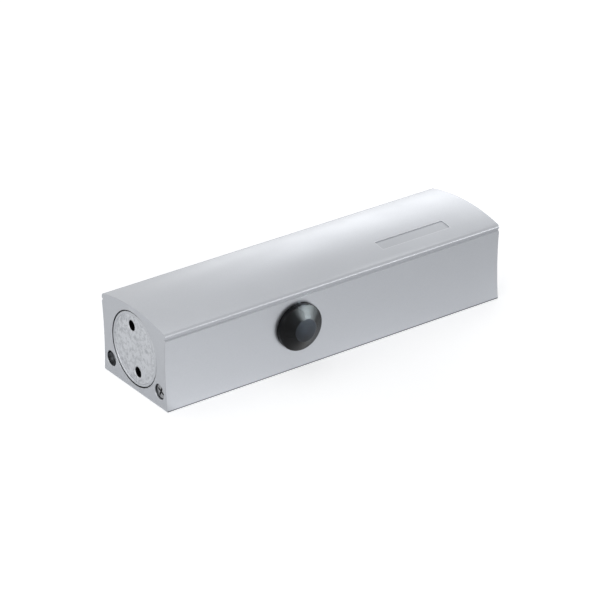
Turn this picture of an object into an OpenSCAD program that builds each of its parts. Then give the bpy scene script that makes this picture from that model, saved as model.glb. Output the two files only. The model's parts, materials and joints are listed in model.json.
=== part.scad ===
/* [Housing] */
// Length of the housing along X
body_len = 216; // [212:1:240]
// Width across the foot and the top lips
body_w = 60; // [59:0.5:64]
// Height of the long top edges above the mounting face
edge_z = 44.2; // [44:0.1:46]
// Rise of the arched top above the long edges
crown_rise = 4; // [3:0.5:6]
// Depth of the shallow hollow along each side
side_hollow = 1; // [0.6:0.1:1.4]
// Height of the groove under each top lip
groove_z = 41.3; // [40:0.1:41.5]
// Radius of the round-bottomed groove
groove_r = 1; // [0.6:0.1:1.1]
// Depth of the groove
groove_depth = 0.8; // [0.5:0.1:1]
// Rounding of the top lips
lip_round = 1.9; // [0.6:0.1:2]
// Bevel along the foot
foot_bevel = 0.6; // [0.3:0.1:1]

/* [Bare name field] */
// Length of the sunk field on the arched top
field_len = 45; // [30:1:50]
// Width of the sunk field
field_w = 7.6; // [5:0.2:9]
// Depth of the sunk field
field_depth = 0.35; // [0.2:0.05:0.6]
// Distance from the right end to the field's centre
field_from_right = 48.4; // [40:0.2:60]
// Distance of the field from the crown line, towards the near side
field_y = 16; // [12:0.5:20]

/* [Cylinder and end plugs] */
// Height of the bore axis above the mounting face
axis_z = 24; // [23.8:0.1:24.4]
// Radius of the main bore
bore_r = 18.5; // [18.3:0.1:18.6]
// Radius of the threaded plug bores
plug_r = 21; // [20.6:0.1:21.2]
// Depth of the threaded plug bores
plug_len = 12; // [10:0.5:13]
// Length of the sealed nose behind the thread
nose_len = 6; // [5:0.5:7]
// Bevel on the rim of a plug
plug_bevel = 0.6; // [0.3:0.1:1]
// Radius of the pin-spanner holes
spanner_r = 2.75; // [2:0.25:3]
// Pitch circle diameter of the left plug's pin-spanner holes
spanner_pcd = 25.6; // [22:0.2:28]
// Pitch circle diameter of the right plug's, wider round the adjusting screw
spanner_pcd_right = 28.4; // [26:0.2:30]
// Depth of the pin-spanner holes
spanner_depth = 6; // [4:0.5:8]
// Turn of the left plug's holes from vertical
plug_turn = 10; // [0:1:80]
// Length of the stop ring inside the left plug
stop_len = 3.2; // [3:0.1:4]
// Inner radius of the stop ring
stop_inner_r = 6; // [5:0.5:8]
// Outer radius of the stop ring
stop_outer_r = 12; // [10:0.5:14]
// Width of the oil slot across the stop ring
stop_slot_w = 4; // [2:0.5:6]

/* [Spindle and pinion] */
// Distance from the left end to the spindle axis
spindle_from_left = 83; // [82:0.5:90]
// Radius of the journals
journal_r = 8; // [7.8:0.1:8]
// Width of the square ends across flats
square_w = 11; // [10:0.5:11]
// How far the square ends stand out of the side faces
square_out = 4.4; // [3:0.2:4.4]
// Core radius of the tapped hole in each end
arm_hole_r = 3.4; // [2.5:0.1:3.6]
// Depth of the tapped hole in each end
arm_hole_depth = 14; // [10:1:16]
// Gear module of the pinion and the rack
gear_module = 1.75; // [1.7:0.01:1.75]
// Teeth on the pinion
pinion_teeth = 12; // [12:1:12]
// Turn of the spindle from closed to fully open, in degrees
spindle_range = 180; // [150:5:180]
// Thinning of each tooth, for backlash
tooth_play = 0.2; // [0.15:0.01:0.3]

/* [Spindle bearings and seals] */
// Radius of the cross bore
cross_r = 12.5; // [12.4:0.1:12.7]
// Depth of the recess in each side face
recess_depth = 1.2; // [1:0.1:1.5]
// Length of the gland ring
gland_len = 5.8; // [5:0.1:6]
// Thickness of the gland's outer lip
gland_lip = 1; // [0.8:0.1:1.4]
// Length of the drawn bearing cup
cup_len = 8.6; // [8:0.1:9]
// Wall of the drawn bearing cup
cup_wall = 1.45; // [1.2:0.05:1.6]
// Thickness of the thrust washers
washer_t = 0.8; // [0.5:0.1:1]
// Needle rollers in each bearing
roller_count = 14; // [10:1:14]
// Running clearance of rollers, journals and screws
run_play = 0.04; // [0.02:0.01:0.06]

/* [Spindle cap] */
// Radius of the cap at its foot
cap_r = 13.2; // [13:0.1:14.4]
// Radius of the cap's flat front
cap_front_r = 6.3; // [5:0.1:8]
// Height of the cap above the side face
cap_h = 7.4; // [6.4:0.1:8]
// Height of the straight rim at the cap's foot
cap_rim = 2.9; // [0.4:0.1:3.4]

/* [Piston and check valve] */
// Clearance between piston and bore
piston_play = 0.05; // [0.03:0.01:0.1]
// Gap between the piston and the stop ring at rest
stop_gap = 0.3; // [0.2:0.05:0.4]
// Length of the solid right head, behind the slot
head_len = 18.5; // [14:0.5:20]
// Half of the slot's height
slot_half = 12.8; // [12.8:0.1:13.2]
// Gap between the rack's ends and the thrust washers
rack_end_gap = 1.2; // [1:0.1:3]
// How far the rack teeth reach past the pitch line
rack_addendum = 1.2; // [1:0.05:1.2]
// Radius of the check ball
ball_r = 2.6; // [2:0.1:3]
// Lift of the check ball off its seat
ball_lift = 0.8; // [0.4:0.1:1.2]
// Thickness of the ball's retainer ring
retainer_t = 2; // [1.5:0.1:2.5]

/* [Springs] */
// Mean radius of the outer spring
outer_mean_r = 13.8; // [13.6:0.1:14.2]
// Wire radius of the outer spring
outer_wire_r = 2.2; // [1.8:0.1:2.3]
// Turns of the outer spring
outer_turns = 6; // [5:0.5:6]
// Mean radius of the inner spring
inner_mean_r = 7.6; // [7.5:0.1:7.8]
// Wire radius of the inner spring
inner_wire_r = 1.5; // [1.2:0.1:1.5]
// Turns of the inner spring
inner_turns = 9; // [7:0.5:9]
// Thickness of the spring plate
plate_t = 6; // [4:0.5:7]
// Travel of the spring plate
plate_travel = 11.25; // [8:0.25:11.25]
// Thread radius of the power adjusting screw
adjuster_r = 4; // [3:0.5:4]
// Radius of the adjusting screw where it passes the plug
adjuster_neck_r = 6; // [5.5:0.1:7]
// Width of the hexagon socket across flats
hex_af = 5; // [4:0.5:6]
// Depth of the hexagon socket
hex_depth = 3.8; // [3:0.1:3.9]

/* [Valves and oil ways] */
// Distance of each valve from the side of the housing
valve_from_side = 7.2; // [7:0.1:7.4]
// Height of the valves above the mounting face
valve_z = 9; // [8.5:0.1:9]
// Radius of the valve recess
valve_r = 4.2; // [4:0.1:4.2]
// Length of the wide part of the valve bore
valve_wide_len = 12; // [11.5:0.5:13]
// Length of the threaded part of the valve bore
valve_thread_len = 6; // [5:0.5:6]
// Length of the threaded part and the needle chamber together
valve_inner_len = 11; // [10.5:0.5:12]
// Radius of the threaded part of the valve bore
valve_thread_r = 3; // [2.8:0.1:3.2]
// Radius of the oil channel behind the valve seat
channel_r = 1.4; // [1:0.1:1.6]
// Sink of a fully closed valve screw below the end face
valve_closed = 4.2; // [4:0.1:5]
// Sink of the near valve screw below the end face
near_valve_sink = 1.2; // [0.6:0.1:4]
// Sink of the far valve screw below the end face
far_valve_sink = 3.4; // [0.6:0.1:4]
// Distance from the spindle axis to the return ports, along X
return_port_x = 14; // [13.5:0.5:16]
// Tilt of the oil ports from vertical
port_tilt = 21.8; // [20:0.2:23]
// Radius of the oil ports
port_r = 1.1; // [0.8:0.1:1.3]
// Radius of the ball plugs in the port mouths
plug_ball_r = 1.6; // [1.4:0.05:1.7]
// Depth of the ball plugs' centres in their ports
plug_ball_depth = 2.2; // [2:0.1:3]

/* [Fixing holes] */
// Spacing of the fixing holes along X
fix_x = 172; // [165:1:172]
// Spacing of the fixing holes across Y
fix_y = 30; // [28:0.5:31]
// Core radius of the fixing holes
fix_r = 2.1; // [1.6:0.1:2.1]
// Depth of the fixing holes
fix_depth = 9; // [6:0.5:9]

/* [Hidden] */

$fn = 96;
fine_fn = 360;
over = 1;

aluminium = [0.74, 0.75, 0.77];
plug_metal = [0.68, 0.69, 0.71];
steel = [0.55, 0.56, 0.58];
dark_steel = [0.32, 0.33, 0.35];
seal_rubber = [0.08, 0.08, 0.09];
cap_plastic = [0.06, 0.065, 0.07];
cage_plastic = [0.72, 0.62, 0.42];

near_side = -1;
far_side = 1;

// Outline of the housing
crown_z = edge_z + crown_rise;
half_w = body_w / 2;
half_len = body_len / 2;
arch_r = (half_w * half_w + crown_rise * crown_rise) / (2 * crown_rise);
hollow_span = groove_z - groove_r;
hollow_r = (hollow_span * hollow_span / 4 + side_hollow * side_hollow) / (2 * side_hollow);
// The spot face is cut a little below the bottom of the hollow
spot_sink = 0.2;
face_y = half_w - side_hollow - spot_sink;
spot_r = cap_r + 0.3;

// Spindle stack, measured from the middle plane outwards
spindle_x = spindle_from_left - half_len;
gland_out_y = face_y - recess_depth;
gland_in_y = gland_out_y - gland_len;
stack_play = 0.1;
cup_out_y = gland_in_y - stack_play;
cup_in_y = cup_out_y - cup_len;
pinion_half = cup_in_y - washer_t - stack_play;
rack_half = pinion_half - rack_end_gap;
square_end_y = face_y + square_out;
journal_end_y = face_y - 0.6;
square_corner_r = min(journal_r - 0.3, square_w * 0.7);
cup_r = cross_r - 0.05;
cup_inner_r = cup_r - cup_wall;
roller_r = (cup_inner_r - journal_r) / 2 - run_play;
roller_pitch_r = (cup_inner_r + journal_r) / 2;
cup_lip_t = 0.8;
cage_len = cup_len - 2 * cup_lip_t - 0.2;
cage_band = 0.9;
cage_half_t = 0.7;
roller_len = cage_len - 2 * cage_band;
seal_r = cross_r - 1.5;

// Pinion and rack
pressure_angle = 20;
pitch_r = gear_module * pinion_teeth / 2;
base_r = pitch_r * cos(pressure_angle);
tip_r = pitch_r + gear_module;
root_r = pitch_r - rack_addendum - 0.3;
tooth_pitch = PI * gear_module;
piston_travel = PI * pitch_r * spindle_range / 180;

// Piston
piston_r = bore_r - piston_play;
nose_r = bore_r - 0.05;
stop_x = -half_len + plug_len + nose_len + stop_len;
piston_left = stop_x + stop_gap;
slot_end_gap = 1.2;
slot_left = spindle_x - piston_travel - tip_r - slot_end_gap;
slot_right = spindle_x + tip_r + slot_end_gap;
piston_right = slot_right + head_len;
spigot_len = 3;
spigot_r = 5.2;

// Check valve
seat_hole_r = ball_r * 0.7;
ball_gap = 0.02;
ball_seat_back = sqrt(ball_r * ball_r - seat_hole_r * seat_hole_r) + ball_gap;
ball_bore_r = ball_r + 0.25;
retainer_r = ball_bore_r + 1.2;
retainer_sink = 0.5;
ball_chamber_len = ball_seat_back + ball_r + ball_lift + 0.1;
seat_x = piston_left + retainer_sink + retainer_t + ball_chamber_len;
ball_x = seat_x - ball_seat_back;

// Spring plate and adjusting screw, right end
nose_end_x = half_len - plug_len - nose_len;
collar_t = 3;
collar_r = adjuster_neck_r + 2.4;
collar_x = nose_end_x - 0.05;
plate_back_x = collar_x - collar_t - 0.1;
plate_front_x = plate_back_x - plate_t;
screw_tip_x = plate_front_x - plate_travel - 3;
seat_play = 0.05;

// Valve screws
valve_chamber_r = valve_thread_r - 0.5;
valve_y = half_w - valve_from_side;
valve_seat_x = -half_len + valve_wide_len + valve_inner_len;
needle_r = 1.9;
needle_slope = 0.3;
needle_tip_r = 0.4;
needle_cone_len = (needle_r - needle_tip_r) / needle_slope;
valve_head_len = valve_wide_len - valve_closed - 0.3;
valve_ring_at = valve_head_len * 0.62;
valve_screw_len = valve_seat_x + half_len - valve_closed
    - (needle_r - channel_r + 0.02) / needle_slope + needle_cone_len;
channel_end_x = spindle_x - return_port_x;
port_left_x = -half_len + plug_len + nose_len + 1.8;
// A port runs from the back face through the channel into the bore
port_foot_y = valve_y + valve_z * tan(port_tilt);
port_len = (axis_z - 2.5) / cos(port_tilt);

// O-ring sections
plug_ring_t = 2.35;
neck_ring_t = 1.3;
valve_ring_t = 1.3;
ring_play = 0.04;

// Frames for round pieces
module along_x(x, z = axis_z, y = 0) {
  translate([x, y, z]) rotate([0, 90, 0]) children();
}
module from_left_end(y = 0, z = axis_z) {
  translate([-half_len, y, z]) rotate([0, 90, 0]) children();
}
module from_right_end() {
  translate([half_len, 0, axis_z]) rotate([0, -90, 0]) children();
}
// Local Z points out of the side face, and local zero is the middle plane
module on_side(side) {
  translate([spindle_x, 0, axis_z]) rotate([-90 * side, 0, 0]) children();
}

// A ring of any section: inner radius, outer radius, start and length
module ring(inner, outer, start, length) {
  translate([0, 0, start]) difference() {
    cylinder(r = outer, h = length);
    translate([0, 0, -over]) cylinder(r = inner, h = length + 2 * over);
  }
}

module o_ring(outer, thickness, at) {
  translate([0, 0, at]) rotate_extrude()
    translate([outer - thickness / 2, 0]) circle(d = thickness, $fn = 32);
}

// Housing
module lip_cutter() {
  centre_y = half_w - lip_round;
  centre_z = crown_z - arch_r + sqrt(pow(arch_r - lip_round, 2) - centre_y * centre_y);
  reach = arch_r / (arch_r - lip_round);
  touch = [centre_y * reach, crown_z - arch_r + (centre_z - crown_z + arch_r) * reach];
  difference() {
    polygon([
      [centre_y, centre_z], [half_w, centre_z], [half_w + over, centre_z],
      [half_w + over, crown_z], [touch[0], crown_z], touch
    ]);
    translate([centre_y, centre_z]) circle(lip_round);
  }
}

module half_cutters() {
  lip_cutter();
  translate([half_w - side_hollow + hollow_r, hollow_span / 2]) circle(hollow_r, $fn = fine_fn * 2);
  translate([half_w - groove_depth + groove_r, groove_z]) circle(groove_r, $fn = 48);
  polygon([
    [half_w - foot_bevel, -over], [half_w + over, -over],
    [half_w + over, foot_bevel], [half_w, foot_bevel], [half_w - foot_bevel, 0]
  ]);
}

module housing_profile() {
  difference() {
    intersection() {
      translate([-half_w, 0]) square([body_w, crown_z]);
      translate([0, crown_z - arch_r]) circle(arch_r, $fn = fine_fn);
    }
    half_cutters();
    mirror([1, 0]) half_cutters();
  }
}

module end_bore() {
  translate([0, 0, -over]) cylinder(r = plug_r, h = plug_len + over);
  translate([0, 0, -0.01]) cylinder(r1 = plug_r + 0.5, r2 = plug_r, h = 0.5);
}

module valve_bore() {
  translate([0, 0, -over]) cylinder(r = valve_r, h = valve_wide_len + over, $fn = 48);
  translate([0, 0, valve_wide_len - over])
    cylinder(r = valve_thread_r, h = valve_thread_len + over, $fn = 48);
  translate([0, 0, valve_wide_len]) cylinder(r = valve_chamber_r, h = valve_inner_len, $fn = 48);
  cylinder(r = channel_r, h = channel_end_x + half_len + 2, $fn = 32);
}

module port(x, side) {
  translate([x, side * port_foot_y, 0]) rotate([side * port_tilt, 0, 0]) {
    translate([0, 0, -over]) cylinder(r = port_r, h = port_len + over, $fn = 32);
    translate([0, 0, -over]) cylinder(r = plug_ball_r + 0.03, h = plug_ball_depth + 1.2 + over, $fn = 32);
  }
}

module side_bore(side) {
  on_side(side) {
    cylinder(r = cross_r, h = half_w + over);
    translate([0, 0, face_y]) cylinder(r = spot_r, h = 3);
  }
}

module field_cutter() {
  corner = 0.8;
  difference() {
    translate([half_len - field_from_right, -field_y, edge_z - field_depth])
      linear_extrude(crown_rise + field_depth + over) union() {
        square([field_len - 2 * corner, field_w], center = true);
        square([field_len, field_w - 2 * corner], center = true);
        for (sx = [-1, 1], sy = [-1, 1])
          translate([sx * (field_len / 2 - corner), sy * (field_w / 2 - corner)])
            circle(corner, $fn = 32);
      }
    translate([-half_len, 0, crown_z - arch_r]) rotate([0, 90, 0])
      cylinder(r = arch_r - field_depth, h = body_len, $fn = fine_fn);
  }
}

module housing() {
  color(aluminium) difference() {
    translate([-half_len, 0, 0]) rotate([90, 0, 90]) linear_extrude(body_len) housing_profile();
    from_left_end() cylinder(r = bore_r, h = body_len);
    from_left_end() end_bore();
    from_right_end() end_bore();
    side_bore(near_side);
    side_bore(far_side);
    for (side = [near_side, far_side]) {
      from_left_end(side * valve_y, valve_z) valve_bore();
      port(port_left_x, side);
      port(channel_end_x, side);
    }
    for (sx = [-1, 1], sy = [-1, 1])
      translate([sx * fix_x / 2, sy * fix_y / 2, -over])
        cylinder(r = fix_r, h = fix_depth + over, $fn = 48);
    field_cutter();
  }
}

// End plugs: local Z points into the housing, and zero is the end face
module plug_blank(pin_circle) {
  thread_r = plug_r - 0.05;
  ring_at = plug_len + nose_len / 2;
  floor_r = nose_r - plug_ring_t - ring_play;
  difference() {
    union() {
      cylinder(r1 = thread_r - plug_bevel, r2 = thread_r, h = plug_bevel);
      translate([0, 0, plug_bevel]) cylinder(r = thread_r, h = plug_len - plug_bevel);
      cylinder(r = nose_r, h = plug_len + nose_len);
    }
    ring(floor_r, nose_r + over, ring_at - plug_ring_t / 2 - 0.15, plug_ring_t + 0.3);
    for (s = [-1, 1])
      translate([s * pin_circle / 2, 0, -over])
        cylinder(r = spanner_r, h = spanner_depth + over, $fn = 48);
  }
}

module stop_ring() {
  difference() {
    ring(stop_inner_r, stop_outer_r, plug_len + nose_len - over, stop_len + over);
    translate([-stop_outer_r - over, -stop_slot_w / 2, plug_len + nose_len])
      cube([2 * (stop_outer_r + over), stop_slot_w, stop_len + over]);
  }
}

module end_plug_left() {
  color(plug_metal) from_left_end() rotate([0, 0, -plug_turn]) {
    plug_blank(spanner_pcd);
    stop_ring();
  }
}

module end_plug_right() {
  color(plug_metal) from_right_end() difference() {
    plug_blank(spanner_pcd_right);
    translate([0, 0, -over]) cylinder(r = adjuster_neck_r + run_play, h = plug_len + nose_len + 2 * over);
  }
}

module end_plug_left_o_ring() {
  color(seal_rubber) from_left_end() o_ring(nose_r, plug_ring_t, plug_len + nose_len / 2);
}

module end_plug_right_o_ring() {
  color(seal_rubber) from_right_end() o_ring(nose_r, plug_ring_t, plug_len + nose_len / 2);
}

// Spindle with its pinion
// Angle between the tooth's middle line and its flank at radius r, in degrees
function involute(angle) = tan(angle) - angle * PI / 180;
function flank_angle(r) =
  90 / pinion_teeth - tooth_play / 2 / pitch_r * 180 / PI
  + (involute(pressure_angle) - involute(acos(min(1, base_r / r)))) * 180 / PI;
function polar(r, a) = [r * cos(a), r * sin(a)];
flank_steps = 5;
flank_radii = [for (i = [0 : flank_steps]) base_r + (tip_r - base_r) * i / flank_steps];

function tooth(a) = concat(
  [polar(root_r, a - flank_angle(base_r))],
  [for (r = flank_radii) polar(r, a - flank_angle(r))],
  [for (i = [flank_steps : -1 : 0]) polar(flank_radii[i], a + flank_angle(flank_radii[i]))],
  [polar(root_r, a + flank_angle(base_r))]
);

module pinion() {
  outline = [for (i = [0 : pinion_teeth - 1]) each tooth(90 + i * 360 / pinion_teeth)];
  translate([0, 0, -pinion_half]) linear_extrude(2 * pinion_half) polygon(outline);
}

module square_end() {
  corner_bevel = 0.6;
  square_len = square_end_y - journal_end_y;
  difference() {
    intersection() {
      translate([-square_w / 2, -square_w / 2, journal_end_y - over])
        cube([square_w, square_w, square_len + over]);
      union() {
        translate([0, 0, journal_end_y - over])
          cylinder(r = square_corner_r, h = square_len + over - corner_bevel);
        translate([0, 0, square_end_y - corner_bevel])
          cylinder(r1 = square_corner_r, r2 = square_corner_r - corner_bevel, h = corner_bevel);
      }
    }
    arm_hole();
  }
}

module arm_hole() {
  translate([0, 0, square_end_y - arm_hole_depth])
    cylinder(r = arm_hole_r, h = arm_hole_depth + over, $fn = 64);
}

module spindle() {
  color(steel) difference() {
    union() {
      on_side(far_side) translate([0, 0, -journal_end_y]) cylinder(r = journal_r, h = 2 * journal_end_y);
      // The outline's +Y turns to +Z, so one tooth points straight up into the rack
      on_side(near_side) pinion();
      on_side(near_side) square_end();
      on_side(far_side) square_end();
    }
    on_side(near_side) arm_hole();
    on_side(far_side) arm_hole();
  }
}

module thrust_washers() {
  color(steel) for (side = [near_side, far_side])
    on_side(side) ring(journal_r + 0.1, cross_r - 0.3, pinion_half + stack_play / 2, washer_t);
}

// Drawn-cup needle bearings
module bearing_cup(side) {
  color(steel) on_side(side) difference() {
    translate([0, 0, cup_in_y]) cylinder(r = cup_r, h = cup_len);
    translate([0, 0, cup_in_y + cup_lip_t]) cylinder(r = cup_inner_r, h = cup_len - 2 * cup_lip_t);
    translate([0, 0, cup_in_y - over]) cylinder(r = journal_r + 0.5, h = cup_len + 2 * over);
  }
}

module at_rollers() {
  for (i = [0 : roller_count - 1])
    rotate([0, 0, i * 360 / roller_count]) translate([roller_pitch_r, 0, 0]) children();
}

module roller_cage(side) {
  middle = cup_in_y + cup_len / 2;
  color(cage_plastic) on_side(side) difference() {
    ring(roller_pitch_r - cage_half_t, roller_pitch_r + cage_half_t, middle - cage_len / 2, cage_len);
    at_rollers() translate([0, 0, middle - roller_len / 2 - 0.05])
      cylinder(r = roller_r + 0.06, h = roller_len + 0.1, $fn = 32);
  }
}

module needle_rollers(side) {
  middle = cup_in_y + cup_len / 2;
  color(dark_steel) on_side(side) at_rollers()
    translate([0, 0, middle - roller_len / 2]) cylinder(r = roller_r, h = roller_len, $fn = 32);
}

module bearing_cup_near() { bearing_cup(near_side); }
module bearing_cup_far() { bearing_cup(far_side); }
module roller_cage_near() { roller_cage(near_side); }
module roller_cage_far() { roller_cage(far_side); }
module needle_rollers_near() { needle_rollers(near_side); }
module needle_rollers_far() { needle_rollers(far_side); }

// Gland rings and lip seals
module spindle_gland(side) {
  color(plug_metal) on_side(side) difference() {
    translate([0, 0, gland_in_y]) cylinder(r = cross_r - 0.05, h = gland_len);
    translate([0, 0, gland_in_y - over]) cylinder(r = seal_r, h = gland_len - gland_lip + over);
    cylinder(r = journal_r + 0.15, h = half_w + over);
    for (s = [-1, 1])
      rotate([0, 0, 90]) translate([s * (seal_r - 0.6), 0, gland_out_y - gland_lip / 2])
        cylinder(r = 0.9, h = gland_lip, $fn = 32);
  }
}

module spindle_seal(side) {
  seal_len = gland_len - gland_lip - 0.2;
  color(seal_rubber) on_side(side) difference() {
    translate([0, 0, gland_in_y + 0.1]) cylinder(r = seal_r - 0.04, h = seal_len);
    translate([0, 0, gland_in_y - over]) cylinder(r = journal_r + run_play, h = seal_len + 2 * over);
    ring(journal_r + 0.8, seal_r - 0.8, gland_in_y + 0.1 - over, 1.6 + over);
  }
}

module spindle_gland_near() { spindle_gland(near_side); }
module spindle_gland_far() { spindle_gland(far_side); }
module spindle_seal_near() { spindle_seal(near_side); }
module spindle_seal_far() { spindle_seal(far_side); }

// Spindle cap: a cone with a skirt that clips into the recess
module spindle_cap() {
  skirt = recess_depth - 0.2;
  skirt_out = cross_r - 0.05;
  skirt_in = cross_r - 1.1;
  pocket_r = square_corner_r + 0.35;
  pocket_h = square_out + 0.3;
  step_h = 1.4;
  edge = 0.35;
  color(cap_plastic) on_side(near_side) translate([0, 0, face_y]) rotate_extrude() polygon([
    [skirt_in, -skirt], [skirt_out, -skirt], [skirt_out, 0], [cap_r, 0], [cap_r, cap_rim],
    [cap_front_r + edge, cap_h - edge], [cap_front_r, cap_h], [0, cap_h], [0, pocket_h],
    [pocket_r, pocket_h], [pocket_r, step_h], [skirt_in, step_h]
  ]);
}

// Piston with its rack
module rack_tooth() {
  half_pitch_w = tooth_pitch / 4 - tooth_play / 4;
  root_h = slot_half - pitch_r;
  slope = tan(pressure_angle);
  polygon([
    [-half_pitch_w - root_h * slope, root_h + 0.5], [-half_pitch_w - root_h * slope, root_h],
    [-half_pitch_w + rack_addendum * slope, -rack_addendum],
    [half_pitch_w - rack_addendum * slope, -rack_addendum],
    [half_pitch_w + root_h * slope, root_h], [half_pitch_w + root_h * slope, root_h + 0.5]
  ]);
}

module rack() {
  first = -ceil(piston_travel / tooth_pitch) - 2;
  translate([spindle_x, rack_half, axis_z + pitch_r]) rotate([90, 0, 0])
    linear_extrude(2 * rack_half)
      for (i = [first : 1])
        translate([(i + 0.5) * tooth_pitch, 0]) rack_tooth();
}

module piston() {
  seat_len = seat_x - piston_left;
  color(steel) {
    difference() {
      union() {
        along_x(piston_left) cylinder(r = piston_r, h = piston_right - piston_left);
        along_x(piston_right - over) cylinder(r = spigot_r, h = spigot_len + over);
      }
      translate([slot_left, -bore_r, axis_z - slot_half])
        cube([slot_right - slot_left, 2 * bore_r, 2 * slot_half]);
      along_x(piston_left - over) cylinder(r = retainer_r, h = retainer_sink + retainer_t + over, $fn = 48);
      along_x(piston_left) cylinder(r = ball_bore_r, h = seat_len, $fn = 48);
      along_x(piston_left) cylinder(r = seat_hole_r, h = slot_left - piston_left + over, $fn = 48);
      // Oil passage through the right head
      along_x(slot_right - over) cylinder(r = seat_hole_r, h = head_len + spigot_len + 2 * over, $fn = 48);
    }
    rack();
  }
}

module check_ball() {
  color(steel) translate([ball_x, 0, axis_z]) sphere(r = ball_r, $fn = 64);
}

module check_retainer() {
  color(dark_steel) along_x(piston_left + retainer_sink)
    ring(ball_r * 0.6, retainer_r - 0.03, 0, retainer_t);
}

// Springs, with closed end turns: local Z is the spring's axis
curl_rings = 8;
wire_sides = 6;
closed_turns = 0.75;
closed_gap = 0.5;

// Height of the wire's centre after t turns
function coil_z(t, turns, length, wire) =
  let (closed = 2 * wire + closed_gap, free = (length - 2 * wire - 2 * closed_turns * closed)
    / (turns - 2 * closed_turns))
  wire + (t < closed_turns ? t * closed
    : t > turns - closed_turns ? length - 2 * wire - (turns - t) * closed
    : closed_turns * closed + (t - closed_turns) * free);

function coil_points(mean, wire, turns, length) = [
  for (i = [0 : turns * curl_rings])
    let (t = i / curl_rings) [mean * cos(360 * t), mean * sin(360 * t), coil_z(t, turns, length, wire)]
];

function coil_gap(points, wire) =
  min([for (i = [0 : len(points) - 1 - curl_rings]) norm(points[i + curl_rings] - points[i])]) - 2 * wire;

module coil(mean, wire, turns, length, label) {
  centres = coil_points(mean, wire, turns, length);
  last = len(centres) - 1;
  rings = [for (i = [0 : last], s = [0 : wire_sides - 1])
    let (
      a = 360 * i / curl_rings,
      before = centres[max(0, i - 1)],
      after = centres[min(last, i + 1)],
      run = (after - before) / norm(after - before),
      outward = [cos(a), sin(a), 0],
      side = cross(run, outward),
      turn = 360 * (s + 0.5) / wire_sides
    )
    centres[i] + wire * (cos(turn) * outward + sin(turn) * side)];
  walls = [for (i = [0 : last - 1], s = [0 : wire_sides - 1])
    let (n = (s + 1) % wire_sides, a = i * wire_sides, b = a + wire_sides)
    each [[a + s, a + n, b + n], [a + s, b + n, b + s]]];
  caps = [for (s = [1 : wire_sides - 2]) each [
    [0, s + 1, s], [last * wire_sides, last * wire_sides + s, last * wire_sides + s + 1]
  ]];
  echo(str(label, " least gap ", coil_gap(centres, wire), " mm"));
  polyhedron(points = rings, faces = concat(walls, caps), convexity = 10);
}

spring_start = piston_right + seat_play;
spring_len = plate_front_x - seat_play - spring_start;

module spring_outer() {
  color(dark_steel) along_x(spring_start)
    coil(outer_mean_r, outer_wire_r, outer_turns, spring_len, "outer spring");
}

module spring_inner() {
  color(dark_steel) along_x(spring_start)
    coil(inner_mean_r, inner_wire_r, inner_turns, spring_len, "inner spring");
}

module spring_plate() {
  color(steel) difference() {
    union() {
      along_x(plate_front_x) cylinder(r = bore_r - 0.9, h = plate_t);
      along_x(plate_front_x - 2) cylinder(r = spigot_r, h = 2 + over);
    }
    along_x(plate_front_x - 4) cylinder(r = adjuster_r + run_play, h = plate_t + 6, $fn = 48);
  }
}

// Power adjusting screw: local Z runs from the right end face inwards
module power_adjust_screw() {
  head_sink = 0.8;
  groove_at = plug_len * 0.75;
  color(dark_steel) from_right_end() difference() {
    union() {
      translate([0, 0, head_sink]) cylinder(r = adjuster_neck_r, h = half_len - collar_x - head_sink + 0.5);
      translate([0, 0, half_len - collar_x]) cylinder(r = collar_r, h = collar_t);
      translate([0, 0, half_len - collar_x]) cylinder(r = adjuster_r, h = collar_x - screw_tip_x, $fn = 48);
    }
    translate([0, 0, -over]) cylinder(d = hex_af / cos(30), h = head_sink + hex_depth + over, $fn = 6);
    ring(adjuster_neck_r - neck_ring_t - ring_play, adjuster_neck_r + over,
      groove_at - neck_ring_t / 2 - 0.1, neck_ring_t + 0.2);
  }
}

module adjuster_o_ring() {
  color(seal_rubber) from_right_end() o_ring(adjuster_neck_r, neck_ring_t, plug_len * 0.75);
}

// Valve screws: local Z runs from the left end face inwards
module valve_screw(sink) {
  cross_w = 1;
  cross_len = 5;
  cross_depth = 1.6;
  cross_turn = 25;
  head_r = valve_r - run_play;
  head_bevel = 0.3;
  groove_half = valve_ring_t / 2 + 0.1;
  floor_r = head_r - valve_ring_t - ring_play;
  screw_r = valve_thread_r - run_play;
  thread_end = valve_wide_len + valve_thread_len - valve_closed - 0.3;
  color(steel) translate([0, 0, sink]) difference() {
    rotate_extrude($fn = 64) polygon([
      [0, 0], [head_r - head_bevel, 0], [head_r, head_bevel],
      [head_r, valve_ring_at - groove_half], [floor_r, valve_ring_at - groove_half],
      [floor_r, valve_ring_at + groove_half], [head_r, valve_ring_at + groove_half],
      [head_r, valve_head_len], [screw_r, valve_head_len], [screw_r, thread_end],
      [needle_r, thread_end], [needle_r, valve_screw_len - needle_cone_len],
      [needle_tip_r, valve_screw_len], [0, valve_screw_len]
    ]);
    for (a = [0, 90])
      rotate([0, 0, a + cross_turn]) translate([-cross_len / 2, -cross_w / 2, -over])
        cube([cross_len, cross_w, cross_depth + over]);
  }
}

module valve_ring(sink) {
  color(seal_rubber) o_ring(valve_r - run_play, valve_ring_t, sink + valve_ring_at);
}

module latching_valve_screw() {
  from_left_end(near_side * valve_y, valve_z) valve_screw(near_valve_sink);
}

module latching_valve_o_ring() {
  from_left_end(near_side * valve_y, valve_z) valve_ring(near_valve_sink);
}

module closing_valve_screw() {
  from_left_end(far_side * valve_y, valve_z) valve_screw(far_valve_sink);
}

module closing_valve_o_ring() {
  from_left_end(far_side * valve_y, valve_z) valve_ring(far_valve_sink);
}

module channel_ball_plugs() {
  color(steel) for (x = [port_left_x, channel_end_x], side = [near_side, far_side])
    translate([x, side * port_foot_y, 0]) rotate([side * port_tilt, 0, 0])
      translate([0, 0, plug_ball_depth]) sphere(r = plug_ball_r, $fn = 48);
}

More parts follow.
